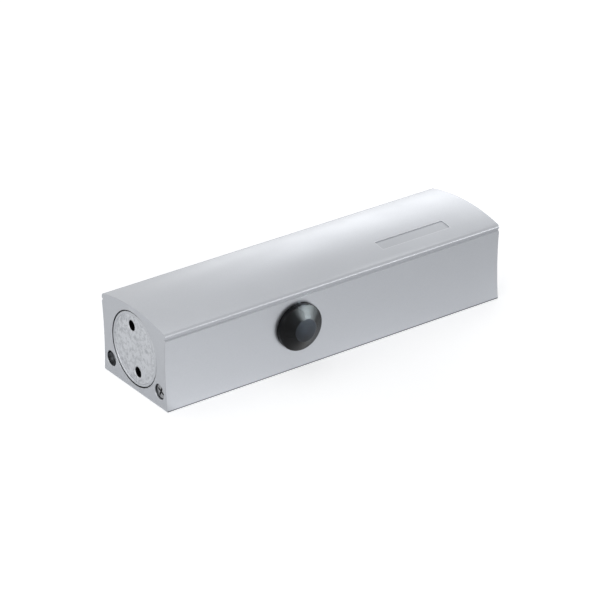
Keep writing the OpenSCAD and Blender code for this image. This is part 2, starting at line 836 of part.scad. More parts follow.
housing();
end_plug_left();
end_plug_right();
end_plug_left_o_ring();
end_plug_right_o_ring();
spindle();
thrust_washers();
bearing_cup_near();
bearing_cup_far();
roller_cage_near();
roller_cage_far();
needle_rollers_near();
needle_rollers_far();
spindle_gland_near();
spindle_gland_far();
spindle_seal_near();
spindle_seal_far();
spindle_cap();
piston();
check_ball();
check_retainer();
spring_outer();
spring_inner();
spring_plate();
power_adjust_screw();
adjuster_o_ring();
latching_valve_screw();
latching_valve_o_ring();
closing_valve_screw();
closing_valve_o_ring();
channel_ball_plugs();
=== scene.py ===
import json
import math

import bmesh
import bpy
from mathutils import Matrix, Vector


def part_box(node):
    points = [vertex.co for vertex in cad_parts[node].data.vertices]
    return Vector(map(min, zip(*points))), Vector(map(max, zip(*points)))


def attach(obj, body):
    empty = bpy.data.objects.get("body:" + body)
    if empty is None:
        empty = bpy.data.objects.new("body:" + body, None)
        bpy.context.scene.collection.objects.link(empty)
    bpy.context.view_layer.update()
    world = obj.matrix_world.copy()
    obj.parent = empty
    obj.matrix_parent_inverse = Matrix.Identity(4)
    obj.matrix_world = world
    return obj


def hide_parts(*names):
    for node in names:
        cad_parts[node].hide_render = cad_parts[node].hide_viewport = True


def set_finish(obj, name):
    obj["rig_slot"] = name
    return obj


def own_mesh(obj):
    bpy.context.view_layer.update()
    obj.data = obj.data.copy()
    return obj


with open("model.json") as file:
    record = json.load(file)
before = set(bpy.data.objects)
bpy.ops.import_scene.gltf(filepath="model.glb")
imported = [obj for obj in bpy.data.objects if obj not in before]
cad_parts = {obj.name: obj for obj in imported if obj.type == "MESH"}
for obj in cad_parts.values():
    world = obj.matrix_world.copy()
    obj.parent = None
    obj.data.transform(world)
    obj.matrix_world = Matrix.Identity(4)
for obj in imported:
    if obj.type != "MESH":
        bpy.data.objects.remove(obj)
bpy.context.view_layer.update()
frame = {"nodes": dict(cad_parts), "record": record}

mm = 0.001
alongX, alongY, alongZ = Vector((1, 0, 0)), Vector((0, 1, 0)), Vector((0, 0, 1))


# places read from the frame

def middleOf(nodeName):
    low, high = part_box(nodeName)
    return (low + high) / 2


halfLength, halfWidth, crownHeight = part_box("housing")[1]
boreHeight = middleOf("end_plug_left").z
spindleX = middleOf("spindle").x


def onBore(x):
    return Vector((x, 0, boreHeight))


def onSpindle(y):
    return Vector((spindleX, y, boreHeight))


print("frame read: body", round(halfLength * 2000, 1), "mm long")


# camera, at the photograph's angle

cameraSet = {
    "azimuth": -35.109,
    "elevation": 26.901,
    "roll": -0.779,
    "distance": 1.644,
    "lens": 185.5,
    "sensor": 36,
    "clip": (0.05, 20),
    "aim": (0, 0, 25 * mm),
    "slideRight": -2.576 * mm,
    "slideUp": -4.885 * mm,
}


def addCamera(s):
    a, e, r = (math.radians(s[k]) for k in ("azimuth", "elevation", "roll"))
    back = Vector((math.sin(a) * math.cos(e), -math.cos(a) * math.cos(e), math.sin(e)))
    level = (-back).cross(alongZ).normalized()
    upright = level.cross(-back)
    right = level * math.cos(r) + upright * math.sin(r)
    up = upright * math.cos(r) - level * math.sin(r)
    place = Vector(s["aim"]) + back * s["distance"] + right * s["slideRight"] + up * s["slideUp"]
    bpy.ops.object.camera_add(location=place)
    camera = bpy.context.object
    camera.name = "studioCamera"
    camera.rotation_euler = Matrix((right, up, back)).transposed().to_euler()
    camera.data.lens = s["lens"]
    camera.data.sensor_width = s["sensor"]
    camera.data.clip_start, camera.data.clip_end = s["clip"]
    bpy.context.scene.camera = camera


addCamera(cameraSet)
print("camera placed")


# selecting and editing

def pickOnly(piece):
    bpy.ops.object.select_all(action="DESELECT")
    piece.select_set(True)
    bpy.context.view_layer.objects.active = piece


def startEdit(piece, mode="EDGE", action="DESELECT"):
    pickOnly(piece)
    bpy.ops.object.mode_set(mode="EDIT")
    bpy.ops.mesh.select_mode(type=mode)
    bpy.ops.mesh.select_all(action=action)


def endEdit():
    bpy.ops.object.mode_set(mode="OBJECT")


# ends an edit by merging the points that meet and turning all faces outward
def weldAndEnd(threshold):
    bpy.ops.mesh.select_all(action="SELECT")
    bpy.ops.mesh.remove_doubles(threshold=threshold)
    bpy.ops.mesh.normals_make_consistent(inside=False)
    endEdit()


# selects the edges whose middle and direction pass the test
def pickEdges(piece, test):
    grid = bmesh.from_edit_mesh(piece.data)
    for edge in grid.edges:
        ends = [v.co for v in edge.verts]
        edge.select_set(test((ends[0] + ends[1]) / 2, (ends[1] - ends[0]).normalized()))
    bmesh.update_edit_mesh(piece.data)


# selects the faces whose normal passes the test
def pickFaces(piece, test):
    grid = bmesh.from_edit_mesh(piece.data)
    grid.normal_update()
    for face in grid.faces:
        face.select_set(test(face.normal))
    bmesh.update_edit_mesh(piece.data)


def resizeFaces(piece, test, factors, middle):
    startEdit(piece, "FACE")
    pickFaces(piece, test)
    bpy.ops.transform.resize(value=factors, center_override=middle)
    endEdit()


def fixPlace(piece):
    pickOnly(piece)
    bpy.ops.object.transform_apply(location=True, rotation=True, scale=True)


# names the piece that was just added
def takeNew(name):
    piece = bpy.context.object
    piece.name = name
    fixPlace(piece)
    return piece


def addBox(name, middle, size, rotation=(0, 0, 0)):
    bpy.ops.mesh.primitive_cube_add(size=1, location=middle, rotation=rotation, scale=size)
    return takeNew(name)


def addRod(name, middle, radius, length, sides, rotation):
    bpy.ops.mesh.primitive_cylinder_add(
        vertices=sides, radius=radius, depth=length, location=middle, rotation=rotation)
    return takeNew(name)


def useModifier(piece, kind, **values):
    pickOnly(piece)
    added = piece.modifiers.new(kind.lower(), kind)
    for key, value in values.items():
        setattr(added, key, value)
    bpy.ops.object.modifier_apply(modifier=added.name)


def cut(piece, cutter, operation="DIFFERENCE"):
    useModifier(piece, "BOOLEAN", object=cutter, operation=operation, solver="EXACT")
    bpy.data.objects.remove(cutter)


# turned pieces: a circle is extruded and resized along its axis, ring by ring

past = 1 * mm  # how far a cutter stands out of the face that it enters
tipShare = 0.05  # a drill's point, as a share of its radius
turnFor = {
    "X": (alongX, (0, math.pi / 2, 0)),
    "-X": (-alongX, (0, -math.pi / 2, 0)),
    "Y": (alongY, (-math.pi / 2, 0, 0)),
    "-Y": (-alongY, (math.pi / 2, 0, 0)),
    "Z": (alongZ, (0, 0, 0)),
}


def turned(name, axis, base, outline, sides, hollow=False):
    direction, turn = turnFor[axis]
    lengthwise = Vector([abs(c) for c in direction])
    across = Vector((1, 1, 1)) - lengthwise
    extrude = bpy.ops.mesh.extrude_edges_move if hollow else bpy.ops.mesh.extrude_region_move
    radius, height = outline[0]
    bpy.ops.mesh.primitive_circle_add(
        vertices=sides, radius=radius, fill_type="NOTHING" if hollow else "NGON",
        location=base + direction * height, rotation=turn)
    piece = takeNew(name)
    startEdit(piece, "EDGE" if hollow else "FACE", "SELECT")
    for nextRadius, nextHeight in outline[1:] + (outline[:1] if hollow else []):
        extrude(TRANSFORM_OT_translate={"value": direction * (nextHeight - height)})
        scale = nextRadius / radius
        if abs(scale - 1) > 1e-9:
            bpy.ops.transform.resize(
                value=across * scale + lengthwise, center_override=base + direction * nextHeight)
        radius, height = nextRadius, nextHeight
    weldAndEnd(0.0005 * mm)
    return piece


# a cutter begins outside the face and narrows over a small countersink
def mouthOutline(radius, sink):
    return [(radius + sink + past, -past), (radius + sink, 0), (radius, sink)]


# cutter for a drilled hole, from base into the piece, with a cone at its end if one is given
def drill(axis, base, radius, depth, sink, sides=64, cone=0):
    outline = mouthOutline(radius, sink) + [(radius, depth)]
    if cone:
        outline.append((radius * tipShare, depth + cone))
    return turned("drill", axis, base, outline, sides)


# cutter for a tapped hole: the wall is a row of thread ridges, in shares of the pitch
def tap(axis, base, radius, depth, pitch, sides):
    deep = radius + pitch * 0.45
    outline = [(deep + past, -past), (deep + 0.1 * mm, 0), (radius, pitch * 0.6)]
    for i in range(1, int(depth / pitch) - 1):
        outline += [(deep, pitch * (i + 0.3)), (radius, pitch * (i + 0.6))]
    outline += [(radius, depth), (radius * tipShare, depth + radius * 0.6)]
    return turned("tap", axis, base, outline, sides)


# outline of an outer thread, ridge by ridge, in shares of the pitch
def threadRidges(radius, start, end, pitch):
    core = radius - pitch * 0.35
    count = int((end - start) / pitch)
    rings = []
    for i in range(count):
        at = start + pitch * i
        rings += [(core, at + pitch * 0.1), (radius, at + pitch * 0.45), (radius, at + pitch * 0.6)]
    return rings + [(core, start + pitch * count)]


# outline of an O-ring groove in a round wall
def ringGroove(radius, floor, at, half):
    return [(radius, at - half), (floor, at - half), (floor, at + half), (radius, at + half)]


def finish(piece, body, slotName, nodeName, angle=30):
    pickOnly(piece)
    bpy.ops.object.shade_smooth_by_angle(angle=math.radians(angle))
    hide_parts(nodeName)
    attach(piece, body)
    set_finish(piece, slotName)
    print("made", piece.name, len(piece.data.polygons), "faces")
    return piece


# housing: one long block, arched, hollowed along its sides and bored from every end

housingForm = {
    "archRise": 4 * mm,
    "archSides": 448,
    "plugSides": 160,
    "crossSides": 128,
    "portSides": 40,
    "sideHollow": 1 * mm,
    "hollowSides": 620,
    "grooveHeight": 41.3 * mm,
    "grooveWidth": 2.0 * mm,
    "grooveDepth": 0.8 * mm,
    "grooveFlare": 1.6,
    "grooveFloor": 0.4,
    "grooveRound": 0.38 * mm,
    "lipRound": 1.4535 * mm,
    "footRound": 0.6 * mm,
    "edgeSlack": 0.1 * mm,
    "endBevel": 0.25 * mm,
    "plugRadius": 21 * mm,
    "plugDepth": 12 * mm,
    "plugSink": 0.2 * mm,
    "boreRadius": 18.5 * mm,
    "crossRadius": 12.5 * mm,
    "crossSink": 0.3 * mm,
    "spotSink": 0.2 * mm,
    "spotRadius": 13.5 * mm,
    "spotPast": 3 * mm,
    "valveRadius": 4.2 * mm,
    "valveDepth": 12 * mm,
    "valveSink": 0.35 * mm,
    "fixingX": 86 * mm,
    "fixingY": 15 * mm,
    "fixingRadius": 2.1 * mm,
    "fixingDepth": 7.5 * mm,
    "fixingPitch": 0.8 * mm,
    "fixingSides": 48,
    "portTilt": 21.8,
    "portRadius": 1.63 * mm,
    "portDepth": 3.4 * mm,
    "portShift": 1.2 * mm,
    "ballRadius": 1.6 * mm,
    "splitPastField": 0.8 * mm,
    "splitPastSpindle": 15 * mm,
}
archRadius = (halfWidth ** 2 + housingForm["archRise"] ** 2) / (2 * housingForm["archRise"])
archMiddle = crownHeight - archRadius
sideFace = halfWidth - housingForm["sideHollow"] - housingForm["spotSink"]
cutterLength = halfLength * 2.4

nameField = {
    "length": 45 * mm,
    "width": 7.6 * mm,
    "x": halfLength - 48.4 * mm,
    "y": -16 * mm,
    "depth": 0.35 * mm,
    "corner": 0.8 * mm,
    "cutterHeight": 16 * mm,
}


def longRod(radius, y, z, sides):
    return addRod("longRod", (0, y, z), radius, cutterLength, sides, (0, math.pi / 2, 0))


# bar that cuts the groove: narrow at its floor, wide outside the wall
def grooveBar(side, s):
    middle = (0, side * halfWidth, s["grooveHeight"])
    bar = addBox("grooveBar", middle, (cutterLength, s["grooveDepth"] * 2, s["grooveWidth"]))
    resizeFaces(bar, lambda normal: normal.y * side > 0.9, (1, 1, s["grooveFlare"]), middle)
    resizeFaces(bar, lambda normal: normal.y * side < -0.9, (1, 1, s["grooveFloor"]), middle)
    return bar


def longBlock(s):
    length = (halfLength - s["endBevel"]) * 2
    block = addBox("housingShell", (0, 0, crownHeight / 2), (length, halfWidth * 2, crownHeight))
    cut(block, longRod(archRadius, 0, archMiddle, s["archSides"]), "INTERSECT")
    span = s["grooveHeight"] - s["grooveWidth"] / 2
    hollowRadius = (span ** 2 / 4 + s["sideHollow"] ** 2) / (2 * s["sideHollow"])
    for side in (-1, 1):
        hollowMiddle = side * (halfWidth - s["sideHollow"] + hollowRadius)
        cut(block, longRod(hollowRadius, hollowMiddle, span / 2, s["hollowSides"]))
        cut(block, grooveBar(side, s))
    return block


# rounds the long edges between two heights that lie further out than a width
def roundEdges(block, low, high, width, offset, segments):
    startEdit(block)
    pickEdges(block, lambda p, d: abs(d.x) > 0.99 and abs(p.y) > width and low < p.z < high)
    bpy.ops.mesh.bevel(offset=offset, segments=segments, affect="EDGES", clamp_overlap=True)
    endEdit()


def roundLongEdges(block, s):
    slack = s["edgeSlack"]
    lip, groove, wall = crownHeight - s["archRise"], s["grooveHeight"], halfWidth - slack
    reach = s["grooveWidth"] / 2 + slack
    roundEdges(block, lip - slack, crownHeight, wall, s["lipRound"], 9)
    roundEdges(block, groove - reach, groove + reach, wall - s["grooveDepth"], s["grooveRound"], 5)
    roundEdges(block, -slack, slack, wall, s["footRound"], 4)


# extra cuts across keep the long faces short beside the sunk field and the spindle
def splitAcross(block, s):
    field = nameField["length"] / 2 + s["splitPastField"]
    for middle, reach in ((nameField["x"], field), (spindleX, s["splitPastSpindle"])):
        for side in (-1, 1):
            startEdit(block, action="SELECT")
            bpy.ops.mesh.bisect(plane_co=(middle + side * reach, 0, 0), plane_no=(1, 0, 0))
            endEdit()


def bevelEnds(block, s):
    bevel = s["endBevel"]
    for side in (-1, 1):
        startEdit(block, "FACE")
        pickFaces(block, lambda normal: normal.x * side > 0.9)
        bpy.ops.mesh.extrude_region_move(TRANSFORM_OT_translate={"value": alongX * side * bevel})
        bpy.ops.transform.resize(
            value=(1, 1 - bevel / halfWidth, 1 - bevel / boreHeight),
            center_override=onBore(side * halfLength))
        endEdit()


def boreHousing(shell, s):
    for axis, x in (("X", -halfLength), ("-X", halfLength)):
        outline = mouthOutline(s["plugRadius"], s["plugSink"]) + [
            (s["plugRadius"], s["plugDepth"]), (s["boreRadius"], s["plugDepth"]),
            (s["boreRadius"], halfLength + past)]
        cut(shell, turned("plugBore", axis, onBore(x), outline, s["plugSides"]))
    for axis, side in (("-Y", 1), ("Y", -1)):
        outline = [
            (s["spotRadius"], -s["spotPast"]), (s["spotRadius"], 0),
            (s["crossRadius"] + s["crossSink"], 0), (s["crossRadius"], s["crossSink"]),
            (s["crossRadius"], sideFace)]
        cut(shell, turned("crossBore", axis, onSpindle(side * sideFace), outline, s["crossSides"]))
    for nodeName in ("latching_valve_screw", "closing_valve_screw"):
        middle = middleOf(nodeName)
        base = Vector((-halfLength, middle.y, middle.z))
        cut(shell, drill("X", base, s["valveRadius"], s["valveDepth"], s["valveSink"]))
    for sideX in (-1, 1):
        for sideY in (-1, 1):
            base = Vector((sideX * s["fixingX"], sideY * s["fixingY"], 0))
            cut(shell, tap(
                "Z", base, s["fixingRadius"], s["fixingDepth"], s["fixingPitch"], s["fixingSides"]))


# slanted mouths of the oil ports, over the balls that close them
def portMouths(shell, s):
    plugsLow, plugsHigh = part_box("channel_ball_plugs")
    ball, shift = s["ballRadius"], s["portShift"]
    for x in (plugsLow.x + ball, plugsHigh.x - ball):
        for side in (-1, 1):
            tilt = side * math.radians(s["portTilt"])
            middle = Vector((x, side * (plugsHigh.y - ball), (plugsLow.z + plugsHigh.z) / 2))
            middle += Vector((0, math.sin(tilt) * shift, -shift))
            length = s["portDepth"] * 2 - shift
            mouth = addRod("portMouth", middle, s["portRadius"], length, s["portSides"], (tilt, 0, 0))
            cut(shell, mouth)


def sinkNameField(shell, s):
    field = addBox(
        "fieldCutter", (s["x"], s["y"], crownHeight), (s["length"], s["width"], s["cutterHeight"]))
    startEdit(field)
    pickEdges(field, lambda p, d: abs(d.z) > 0.9)
    bpy.ops.mesh.bevel(offset=s["corner"], segments=5, affect="EDGES")
    endEdit()
    cut(field, longRod(archRadius - s["depth"], 0, archMiddle, housingForm["archSides"]))
    cut(shell, field)


def makeHousing(s):
    shell = longBlock(s)
    roundLongEdges(shell, s)
    bevelEnds(shell, s)
    splitAcross(shell, s)
    boreHousing(shell, s)
    portMouths(shell, s)
    sinkNameField(shell, nameField)
    return finish(shell, "housing", "housing", "housing", angle=28)


# end plugs: turned discs with a raised rim, two pin-spanner holes and a sealed nose

plugForm = {
    "sides": 160,
    "radius": 20.9 * mm,
    "frontRadius": 20.45 * mm,
    "gapDepth": 3 * mm,
    "gapBevel": 0.4 * mm,
    "rimBevel": 0.9 * mm,
    "rimRound": 0.6 * mm,
    "faceRadius": 18.9 * mm,
    "faceSink": 0.45 * mm,
    "faceRound": 0.28 * mm,
    "depth": 12 * mm,
    "noseRadius": 18.45 * mm,
    "noseLength": 6 * mm,
    "noseBevel": 0.4 * mm,
    "grooveFloor": 16.06 * mm,
    "grooveHalf": 1.325 * mm,
    "stopInner": 6 * mm,
    "stopOuter": 12 * mm,
    "stopLength": 3.2 * mm,
    "spannerRadius": 2.95 * mm,
    "spannerDepth": 6 * mm,
    "spannerSink": 0.35 * mm,
    "spannerCone": 1.2 * mm,
    "leftPitch": 12.8 * mm,
    "leftTurn": -10,
    "rightPitch": 14.2 * mm,
    "rightTurn": 0,
    "neckRadius": 6.06 * mm,
    "neckBevel": (0.4 * mm, 0.8 * mm),
}


# the sunk face, the rim with its soft edges, the gap, the body and the grooved nose
def plugOutline(s):
    r, front, face, sink = s["radius"], s["frontRadius"], s["faceRadius"], s["faceSink"]
    nose, end = s["noseRadius"], s["depth"] + s["noseLength"]
    return [
        (face, sink), (face + 0.08 * mm, sink - 0.1 * mm), (face + 0.16 * mm, 0.08 * mm),
        (face + s["faceRound"], 0), (front - s["rimBevel"], 0), (front - s["rimBevel"] / 2, 0.16 * mm),
        (front - 0.06 * mm, 0.42 * mm), (front, s["rimRound"]), (front, s["gapDepth"]),
        (r, s["gapDepth"] + s["gapBevel"]), (r, s["depth"]), (nose, s["depth"]),
        *ringGroove(nose, s["grooveFloor"], end - s["noseLength"] / 2, s["grooveHalf"]),
        (nose, end - s["noseBevel"]), (nose - s["noseBevel"], end)]


# a pair of holes across the face, turned from upright
def spannerHoles(plug, axis, face, s, pitch, turn):
    across = alongZ * math.cos(turn) - alongY * math.sin(turn)
    for side in (-1, 1):
        cut(plug, drill(
            axis, face + across * side * pitch, s["spannerRadius"], s["spannerDepth"],
            s["spannerSink"], 48, s["spannerCone"]))


def makeLeftPlug(s):
    base = onBore(-halfLength)
    plug = turned("endPlugLeft", "X", base, plugOutline(s), s["sides"])
    inner, outer, length = s["stopInner"], s["stopOuter"], s["stopLength"]
    stop = turned(
        "stopRing", "X", base + alongX * (s["depth"] + s["noseLength"]),
        [(inner, 0), (outer, 0), (outer, length), (inner, length)], 64, hollow=True)
    cut(plug, stop, "UNION")
    face = base + alongX * s["faceSink"]
    spannerHoles(plug, "X", face, s, s["leftPitch"], math.radians(s["leftTurn"]))
    return finish(plug, "housing", "plug", "end_plug_left")


# the right plug also has a neck bore for the adjusting screw
def makeRightPlug(s):
    base = onBore(halfLength)
    neck, sink = s["neckRadius"], s["faceSink"]
    bevelAcross, bevelDeep = s["neckBevel"]
    outline = [(neck, bevelDeep + sink), (neck + bevelAcross, sink)] + plugOutline(s)
    outline.append((neck, s["depth"] + s["noseLength"]))
    plug = turned("endPlugRight", "-X", base, outline, s["sides"], hollow=True)
    face = base - alongX * sink
    spannerHoles(plug, "-X", face, s, s["rightPitch"], math.radians(s["rightTurn"]))
    return finish(plug, "housing", "plug", "end_plug_right")


# spindle cap: a hollow cone with a clip skirt

capForm = {
    "sides": 128,
    "footRadius": 13.2 * mm,
    "footBevel": 0.15 * mm,
    "frontRadius": 6.3 * mm,
    "height": 7.4 * mm,
    "rim": 2.9 * mm,
    "shoulder": 0.5 * mm,
    "shoulderDrop": 0.1 * mm,
    "skirt": 1.0 * mm,
    "skirtRadius": 12.4 * mm,
    "skirtWall": 1.0 * mm,
    "skirtBevel": 0.3 * mm,
    "skirtFloor": 1.4 * mm,
    "pocketRadius": 8.1 * mm,
    "pocketHeight": 4.7 * mm,
    "round": 0.45 * mm,
    "shoulderSteps": 3,
    "coneSteps": 10,
    "bevelSteps": 5,
}


# points part of the way from one outline point to another
def between(start, end, shares):
    return [tuple(a + (b - a) * share for a, b in zip(start, end)) for share in shares]


def makeCap(s):
    skirt, bevel, foot = s["skirtRadius"], s["skirtBevel"], s["footRadius"]
    inner = skirt - s["skirtWall"]
    outline = [
        (s["pocketRadius"], s["pocketHeight"]), (s["pocketRadius"], s["skirtFloor"]),
        (inner, s["skirtFloor"]), (inner, bevel - s["skirt"]), (inner + bevel, -s["skirt"]),
        (skirt - bevel, -s["skirt"]), (skirt, bevel - s["skirt"]), (skirt, 0),
        (foot - s["footBevel"], 0), (foot, s["footBevel"])]
    # rounded shoulder from the rim into the cone
    slope = math.atan2(foot - s["frontRadius"], s["height"] - s["rim"])
    for i in range(s["shoulderSteps"] + 1):
        angle = slope * i / s["shoulderSteps"]
        outline.append((
            foot - s["shoulder"] * (1 - math.cos(angle)),
            s["rim"] - s["shoulderDrop"] + s["shoulder"] * math.sin(angle)))
    # straight cone in short steps, then a bevel into the flat front
    coneEnd = (s["frontRadius"] + s["round"] * 0.7, s["height"] - s["round"] * 0.55)
    frontEdge = (coneEnd[0] - s["round"] * 0.72, s["height"])
    steps, bends = s["coneSteps"], s["bevelSteps"]
    outline += between(outline[-1], coneEnd, [i / steps for i in range(1, steps + 1)])
    shares = [math.sin(i / bends * math.pi / 2) for i in range(1, bends + 1)]
    outline += between(coneEnd, frontEdge, shares)
    cap = turned("spindleCap", "-Y", onSpindle(-sideFace), outline, s["sides"])
    return finish(cap, "cap", "cap", "spindle_cap", angle=40)


# valve screws: cylindrical heads with a cross recess, an O-ring groove and a needle

valveForm = {
    "sides": 64,
    "headRadius": 4.12 * mm,
    "headBevel": 0.45 * mm,
    "headLength": 7.5 * mm,
    "ringAt": 4.65 * mm,
    "ringHalf": 0.75 * mm,
    "floorRadius": 2.82 * mm,
    "screwRadius": 2.9 * mm,
    "threadPitch": 0.8 * mm,
    "threadEnd": 13.5 * mm,
    "needleRadius": 1.9 * mm,
    "coneStart": 17.07 * mm,
    "length": 22.07 * mm,
    "tipRadius": 0.4 * mm,
    "crossLength": 5.4 * mm,
    "crossWidth": 1.1 * mm,
    "crossDepth": 1.8 * mm,
    "crossTurn": 25,
    "starRadius": 1.5 * mm,
    "starTip": 0.3 * mm,
    "starLength": 4.4 * mm,
}


def makeValve(use, s):
    nodeName = use + "_valve_screw"
    base = middleOf(nodeName)
    base.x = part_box(nodeName)[0].x
    r, needle = s["headRadius"], s["needleRadius"]
    outline = [
        (r - s["headBevel"], 0), (r - 0.1 * mm, s["headBevel"] / 2), (r, s["headBevel"]),
        *ringGroove(r, s["floorRadius"], s["ringAt"], s["ringHalf"]), (r, s["headLength"])]
    outline += threadRidges(s["screwRadius"], s["headLength"], s["threadEnd"], s["threadPitch"])
    outline += [(needle, s["threadEnd"]), (needle, s["coneStart"]), (s["tipRadius"], s["length"])]
    screw = turned(use + "Valve", "X", base, outline, s["sides"])
    for turn in (s["crossTurn"], s["crossTurn"] + 90):
        size = (s["crossDepth"] * 2, s["crossLength"], s["crossWidth"])
        cut(screw, addBox("crossCutter", base, size, (math.radians(turn), 0, 0)))
    bpy.ops.mesh.primitive_cone_add(
        vertices=32, radius1=s["starRadius"], radius2=s["starTip"], depth=s["starLength"],
        location=base, rotation=(0, math.pi / 2, 0))
    cut(screw, takeNew("starCutter"))
    return finish(screw, use + "_valve", "zinc_steel", nodeName)


# spindle: two journals, a pinion in the middle and a square end on each side

spindleForm = {
    "sides": 96,
    "pinionSides": 144,
    "squareSides": 128,
    "holeSides": 64,
    "journalRadius": 8 * mm,
    "journalEnd": 28.2 * mm,
    "journalBevel": 0.4 * mm,
    "squareWidth": 11 * mm,
    "squareOverlap": 2 * mm,
    "cornerRadius": 7.7 * mm,
    "holeRadius": 3.4 * mm,
    "holeDepth": 12.5 * mm,
    "holePitch": 1.25 * mm,
    "teeth": 12,
    "tipRadius": 12.25 * mm,
    "rootRadius": 9 * mm,
    "gapWidth": 2.6 * mm,
    "gapHeight": 6 * mm,
    "gapFlare": 2.15,
    "pinionHalf": 12.2 * mm,
    "edgeBevel": 0.12 * mm,
}


# the gap between two teeth is wider at their tips than at their roots
def toothGap(angle, s):
    height = s["gapHeight"]
    size = (s["gapWidth"], 3 * s["pinionHalf"], height)
    gap = addBox("toothGap", (0, 0, s["rootRadius"] + height / 2), size)
    resizeFaces(gap, lambda normal: normal.z > 0.9, (s["gapFlare"], 1, 1), (0, 0, height))
    gap.location = onSpindle(0)
    gap.rotation_euler = (0, angle, 0)
    fixPlace(gap)
    return gap


def makePinion(s):
    half, tip = s["pinionHalf"], s["tipRadius"]
    pinion = turned("pinion", "Y", onSpindle(-half), [(tip, 0), (tip, 2 * half)], s["pinionSides"])
    for i in range(s["teeth"]):
        cut(pinion, toothGap((i + 0.5) * 2 * math.pi / s["teeth"], s))
    return pinion


def squareEnd(s, end):
    start = math.copysign(s["journalEnd"] - s["squareOverlap"], end)
    length = abs(end - start)
    size = (s["squareWidth"], length, s["squareWidth"])
    block = addBox("squareEnd", onSpindle((start + end) / 2), size)
    r = s["cornerRadius"]
    outline = [
        (r, -past), (r, length - 0.7 * mm), (r - 0.25 * mm, length - 0.3 * mm), (r - 1.1 * mm, length)]
    axis = "Y" if end > 0 else "-Y"
    roundStock = turned("roundStock", axis, onSpindle(start), outline, s["squareSides"])
    cut(block, roundStock, "INTERSECT")
    return block


def makeSpindle(s):
    low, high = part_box("spindle")
    r, end, bevel = s["journalRadius"], s["journalEnd"], s["journalBevel"]
    shaft = turned("spindleShaft", "Y", onSpindle(-end), [
        (r - bevel, 0), (r, bevel), (r, 2 * end - bevel), (r - bevel, 2 * end)], s["sides"])
    cut(shaft, makePinion(s), "UNION")
    for y in (low.y, high.y):
        cut(shaft, squareEnd(s, y), "UNION")
    for axis, y in (("Y", low.y), ("-Y", high.y)):
        hole = tap(axis, onSpindle(y), s["holeRadius"], s["holeDepth"], s["holePitch"], s["holeSides"])
        cut(shaft, hole)
    useModifier(
        shaft, "BEVEL", width=s["edgeBevel"], segments=2, limit_method="ANGLE",
        angle_limit=math.radians(50), harden_normals=False, miter_outer="MITER_ARC")
    return finish(shaft, "spindle", "steel", "spindle")


# gland rings and lip seals round the spindle

glandForm = {
    "sides": 112,
    "outerRadius": 12.42 * mm,
    "innerRadius": 8.15 * mm,
    "outerBevel": 0.3 * mm,
    "innerBevel": 0.25 * mm,
    "pocketRadius": 11 * mm,
    "lip": 1 * mm,
    "holeRadius": 0.9 * mm,
    "holeDepth": 0.6 * mm,
    "holeSink": 0.1 * mm,
    "holePitch": 10.4 * mm,
}

sealForm = {
    "sides": 96,
    "innerRadius": 8.05 * mm,
    "bevel": 0.3 * mm,
    "wall": 1 * mm,
    "pocketDepth": 1.5 * mm,
}


# node, axis into the housing, outer middle and length of a ring on the spindle
def ringPlace(kind, end):
    nodeName = "spindle_" + kind + "_" + end.lower()
    low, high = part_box(nodeName)
    if end == "Far":
        return nodeName, "-Y", onSpindle(high.y), high.y - low.y
    return nodeName, "Y", onSpindle(low.y), high.y - low.y


def makeGland(end, s):
    nodeName, axis, base, length = ringPlace("gland", end)
    r, hole, pocket = s["outerRadius"], s["innerRadius"], s["pocketRadius"]
    gland = turned("spindleGland" + end, axis, base, [
        (hole + s["innerBevel"], 0), (r - s["outerBevel"], 0), (r, s["outerBevel"]), (r, length),
        (pocket, length), (pocket, s["lip"]), (hole, s["lip"]), (hole, s["innerBevel"])],
        s["sides"], hollow=True)
    for sign in (-1, 1):
        place = base + alongZ * sign * s["holePitch"]
        cut(gland, drill(axis, place, s["holeRadius"], s["holeDepth"], s["holeSink"], 24))
    return finish(gland, "housing", "plug", nodeName)


def makeSeal(end, s):
    nodeName, axis, base, length = ringPlace("seal", end)
    low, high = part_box(nodeName)
    r, hole, bevel, wall = (high.z - low.z) / 2, s["innerRadius"], s["bevel"], s["wall"]
    floor = length - s["pocketDepth"]
    seal = turned("spindleSeal" + end, axis, base, [
        (hole + 0.5 * mm, 0), (r - bevel, 0), (r, bevel), (r, length - bevel),
        (r - 0.4 * mm, length), (r - 0.8 * mm, length - 0.1 * mm), (r - wall, floor),
        (hole + wall, floor), (hole + 0.7 * mm, length - 0.2 * mm), (hole + 0.1 * mm, length - 0.1 * mm),
        (hole, length * 0.6), (hole + 0.25 * mm, length * 0.35)], s["sides"], hollow=True)
    return finish(seal, "housing", "seal", nodeName)


# power adjusting screw at the right end

adjusterForm = {
    "sides": 64,
    "neckRadius": 6 * mm,
    "neckEnd": 17.25 * mm,
    "bevel": 0.5 * mm,
    "collarRadius": 8.4 * mm,
    "collarLength": 3 * mm,
    "collarBevel": 0.3 * mm,
    "threadRadius": 4 * mm,
    "threadPitch": 1.25 * mm,
    "tip": 1 * mm,
    "hexAcross": 5 * mm,
    "hexDepth": 3.8 * mm,
    "hexCone": 1 * mm,
    "hexTip": 0.2 * mm,
    "sinkRadii": (3.7 * mm, 2.5 * mm),
    "sinkHalf": 0.6 * mm,
    "ringAt": 8.2 * mm,
    "ringHalf": 0.75 * mm,
    "ringFloor": 4.66 * mm,
}


